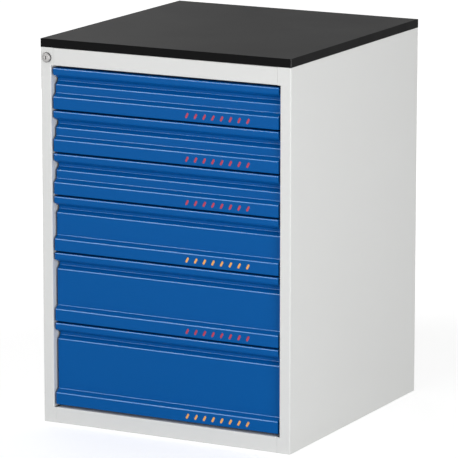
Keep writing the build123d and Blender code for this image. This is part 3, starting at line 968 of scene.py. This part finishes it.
# Mark strips: coloured plastic mouldings clipped behind the bands of the fronts, with a raised pad
# that fills each slot.
moulding_red = (0.47, 0.034, 0.09)
moulding_orange = (0.9, 0.42, 0.105)
mark_red = plastic_of(
    "red_moulding", moulding_red, shading=0.2, roughness=0.4, gloss=0.4, folds="Any", coat_ior=1.5
)
mark_orange = plastic_of(
    "orange_moulding", moulding_orange, shading=0.2, roughness=0.4, gloss=0.4, folds="Any", coat_ior=1.5
)
orange_drawers = ("drawer_4", "drawer_6")
strip_round = 0.00025
pad_clearance = 0.00025
pad_recess = 0.0007
for drawer in drawers:
    low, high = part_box(f"{drawer}_mark_strip")
    front_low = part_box(f"{drawer}_front")[0]
    row_z = front_low.z + band_height * slot_row_share
    strip = add_block(f"{drawer}_mark_moulding", low, high)
    pick_edges(lambda edge: edge_lies(edge, y=high.y))
    bpy.ops.mesh.bevel(offset=strip_round, segments=2, affect="EDGES")
    bpy.ops.object.mode_set(mode="OBJECT")
    pads = add_slot_row(
        "pads", slot_length - 2 * pad_clearance, slot_width - 2 * pad_clearance, row_z,
        front_low.y + pad_recess, (low.y + high.y) / 2,
    )
    cut_or_join(strip, pads, "UNION")
    colour_slot = "mark_orange" if drawer in orange_drawers else "mark_red"
    moulding = mark_orange if drawer in orange_drawers else mark_red
    settle(strip, moulding, drawer, colour_slot, f"{drawer}_mark_strip")


# Drawer trays: open boxes of light grey coated steel sheet, folded up on all sides with a hem along
# the rim, welded behind the fronts.
tray_grey = (0.6, 0.605, 0.6)
tray_paint = coat_of(
    "tray_coat", tray_grey, tray_grey,
    clouding=0.05, roughness=0.5, gloss=0.4, folds="Any", coat_ior=1.5,
)
tray_sheet = 0.001
tray_bend = 0.0018
hem_depth = 0.009
hem_width = 0.0022
hem_round = 0.00099
for drawer in drawers:
    low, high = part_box(f"{drawer}_tray")
    tray = add_block(f"{drawer}_tray_pan", low, high)
    pick_faces(lambda face: face.normal.z > squarely)
    bpy.ops.mesh.delete(type="FACE")
    pick_edges(lambda edge: not edge_lies(edge, z=high.z))
    bpy.ops.mesh.bevel(offset=tray_bend, segments=4, affect="EDGES")
    pick_edges(lambda edge: edge_lies(edge, z=high.z))
    size = high - low
    middle = (low + high) / 2
    bpy.ops.mesh.extrude_edges_move()
    bpy.ops.transform.resize(
        value=(1 - 2 * hem_width / size.x, 1 - 2 * hem_width / size.y, 1), center_override=middle
    )
    bpy.ops.mesh.extrude_edges_move(TRANSFORM_OT_translate={"value": (0, 0, -hem_depth)})
    pick_edges(lambda edge: edge_lies(edge, z=high.z) and edge.calc_face_angle(0) > sharp_turn)
    bpy.ops.mesh.bevel(offset=hem_round, segments=3, affect="EDGES")
    face_outwards(tray, Vector((0, 0, -far_off)))
    thicken(tray, tray_sheet)
    settle(tray, tray_paint, drawer, "tray_paint", f"{drawer}_tray")


# Studio: a long lens from the front right, a small high box at the left whose shine runs along the
# folds, low soft boxes in front, at the right and behind, and a pale floor that fades into white.
target = Vector((-0.0081, 0, 0.3853))


def direction_to(turn_degrees, rise_degrees):
    """Direction from the cabinet, turned from its front towards its right and raised from level."""
    turn = math.radians(turn_degrees)
    rise = math.radians(rise_degrees)
    return Vector((math.sin(turn) * math.cos(rise), -math.cos(turn) * math.cos(rise), math.sin(rise)))


def add_at(name, data, direction, reach):
    """Adds a camera or light at a distance from the cabinet, looking at the middle of it."""
    thing = bpy.data.objects.new(name, data)
    bpy.context.scene.collection.objects.link(thing)
    thing.location = target + direction * reach
    thing.rotation_euler = direction.to_track_quat("Z", "Y").to_euler()
    return thing


camera_turn = 27.79
camera_rise = 11.91
camera_reach = 7.936
lens_data = bpy.data.cameras.new("long_lens")
lens_data.lens = 294.0
lens_data.sensor_width = 36.0
lens_data.clip_end = 100.0
camera = add_at("long_lens", lens_data, direction_to(camera_turn, camera_rise), camera_reach)
bpy.context.scene.camera = camera


def add_soft_light(name, turn, rise, reach, width, height, power):
    """A rectangular soft light that looks at the middle of the cabinet, with its angles in degrees."""
    light_data = bpy.data.lights.new(name, "AREA")
    light_data.shape = "RECTANGLE"
    light_data.size = width
    light_data.size_y = height
    light_data.energy = power
    add_at(name, light_data, direction_to(turn, rise), reach)


add_soft_light("high_box", turn=-36.0, rise=40.0, reach=3.4, width=0.8, height=0.8, power=12.0)
add_soft_light("front_box", turn=-12.0, rise=5.0, reach=4.2, width=3.2, height=1.3, power=31.5)
add_soft_light("right_box", turn=58.0, rise=6.0, reach=3.6, width=1.6, height=1.3, power=48.0)
add_soft_light("rear_box", turn=222.0, rise=4.0, reach=4.0, width=1.6, height=1.0, power=30.0)

floor_size = 60.0
floor_grey = (0.85, 0.85, 0.85)
white = (1.0, 1.0, 1.0)
bpy.ops.mesh.primitive_plane_add(size=floor_size)
floor = name_piece("pale_floor")
floor_material, floor_tree, floor_shader = new_material("pale_floor")
floor_shader.inputs["Base Color"].default_value = opaque(floor_grey)
floor_shader.inputs["Roughness"].default_value = 0.9
floor_shader.inputs["Specular IOR Level"].default_value = 0.0
floor_shader.inputs["Emission Color"].default_value = opaque(white)


def seen_directly(tree):
    """1 for rays from the camera, a reflection or through glass, 0 for the rays that light things."""
    path = add_node(tree, "ShaderNodeLightPath").outputs
    mirrored = add_math(tree, "MAXIMUM", path["Is Glossy Ray"], path["Is Transmission Ray"])
    return add_math(tree, "MAXIMUM", path["Is Camera Ray"], mirrored)


shadow_reach = 0.7
white_reach = 1.9
glow_at_object = 0.48
glow_far_off = 0.68
floor_place = add_node(floor_tree, "ShaderNodeTexCoord").outputs["Object"]
floor_reach = add_node(
    floor_tree, "ShaderNodeVectorMath", {"operation": "LENGTH"}, {0: floor_place}
).outputs["Value"]
glow = add_node(
    floor_tree, "ShaderNodeMapRange", {"interpolation_type": "SMOOTHSTEP"},
    {
        "Value": floor_reach, "From Min": shadow_reach, "From Max": white_reach,
        "To Min": glow_at_object, "To Max": glow_far_off,
    },
).outputs[0]
seen_glow = add_math(floor_tree, "MULTIPLY", glow, seen_directly(floor_tree))
floor_tree.links.new(seen_glow, floor_shader.inputs["Emission Strength"])
floor.data.materials.append(floor_material)

ambient = 0.46
world = bpy.data.worlds.new("white_studio")
bpy.context.scene.world = world
world.use_nodes = True
world_tree = world.node_tree
background = world_tree.nodes["Background"]
background.inputs["Color"].default_value = opaque(white)
brightness = add_node(
    world_tree, "ShaderNodeMapRange", None,
    {"Value": seen_directly(world_tree), "To Min": ambient, "To Max": 1.0},
).outputs[0]
world_tree.links.new(brightness, background.inputs["Strength"])

bpy.context.scene.view_settings.view_transform = "Standard"
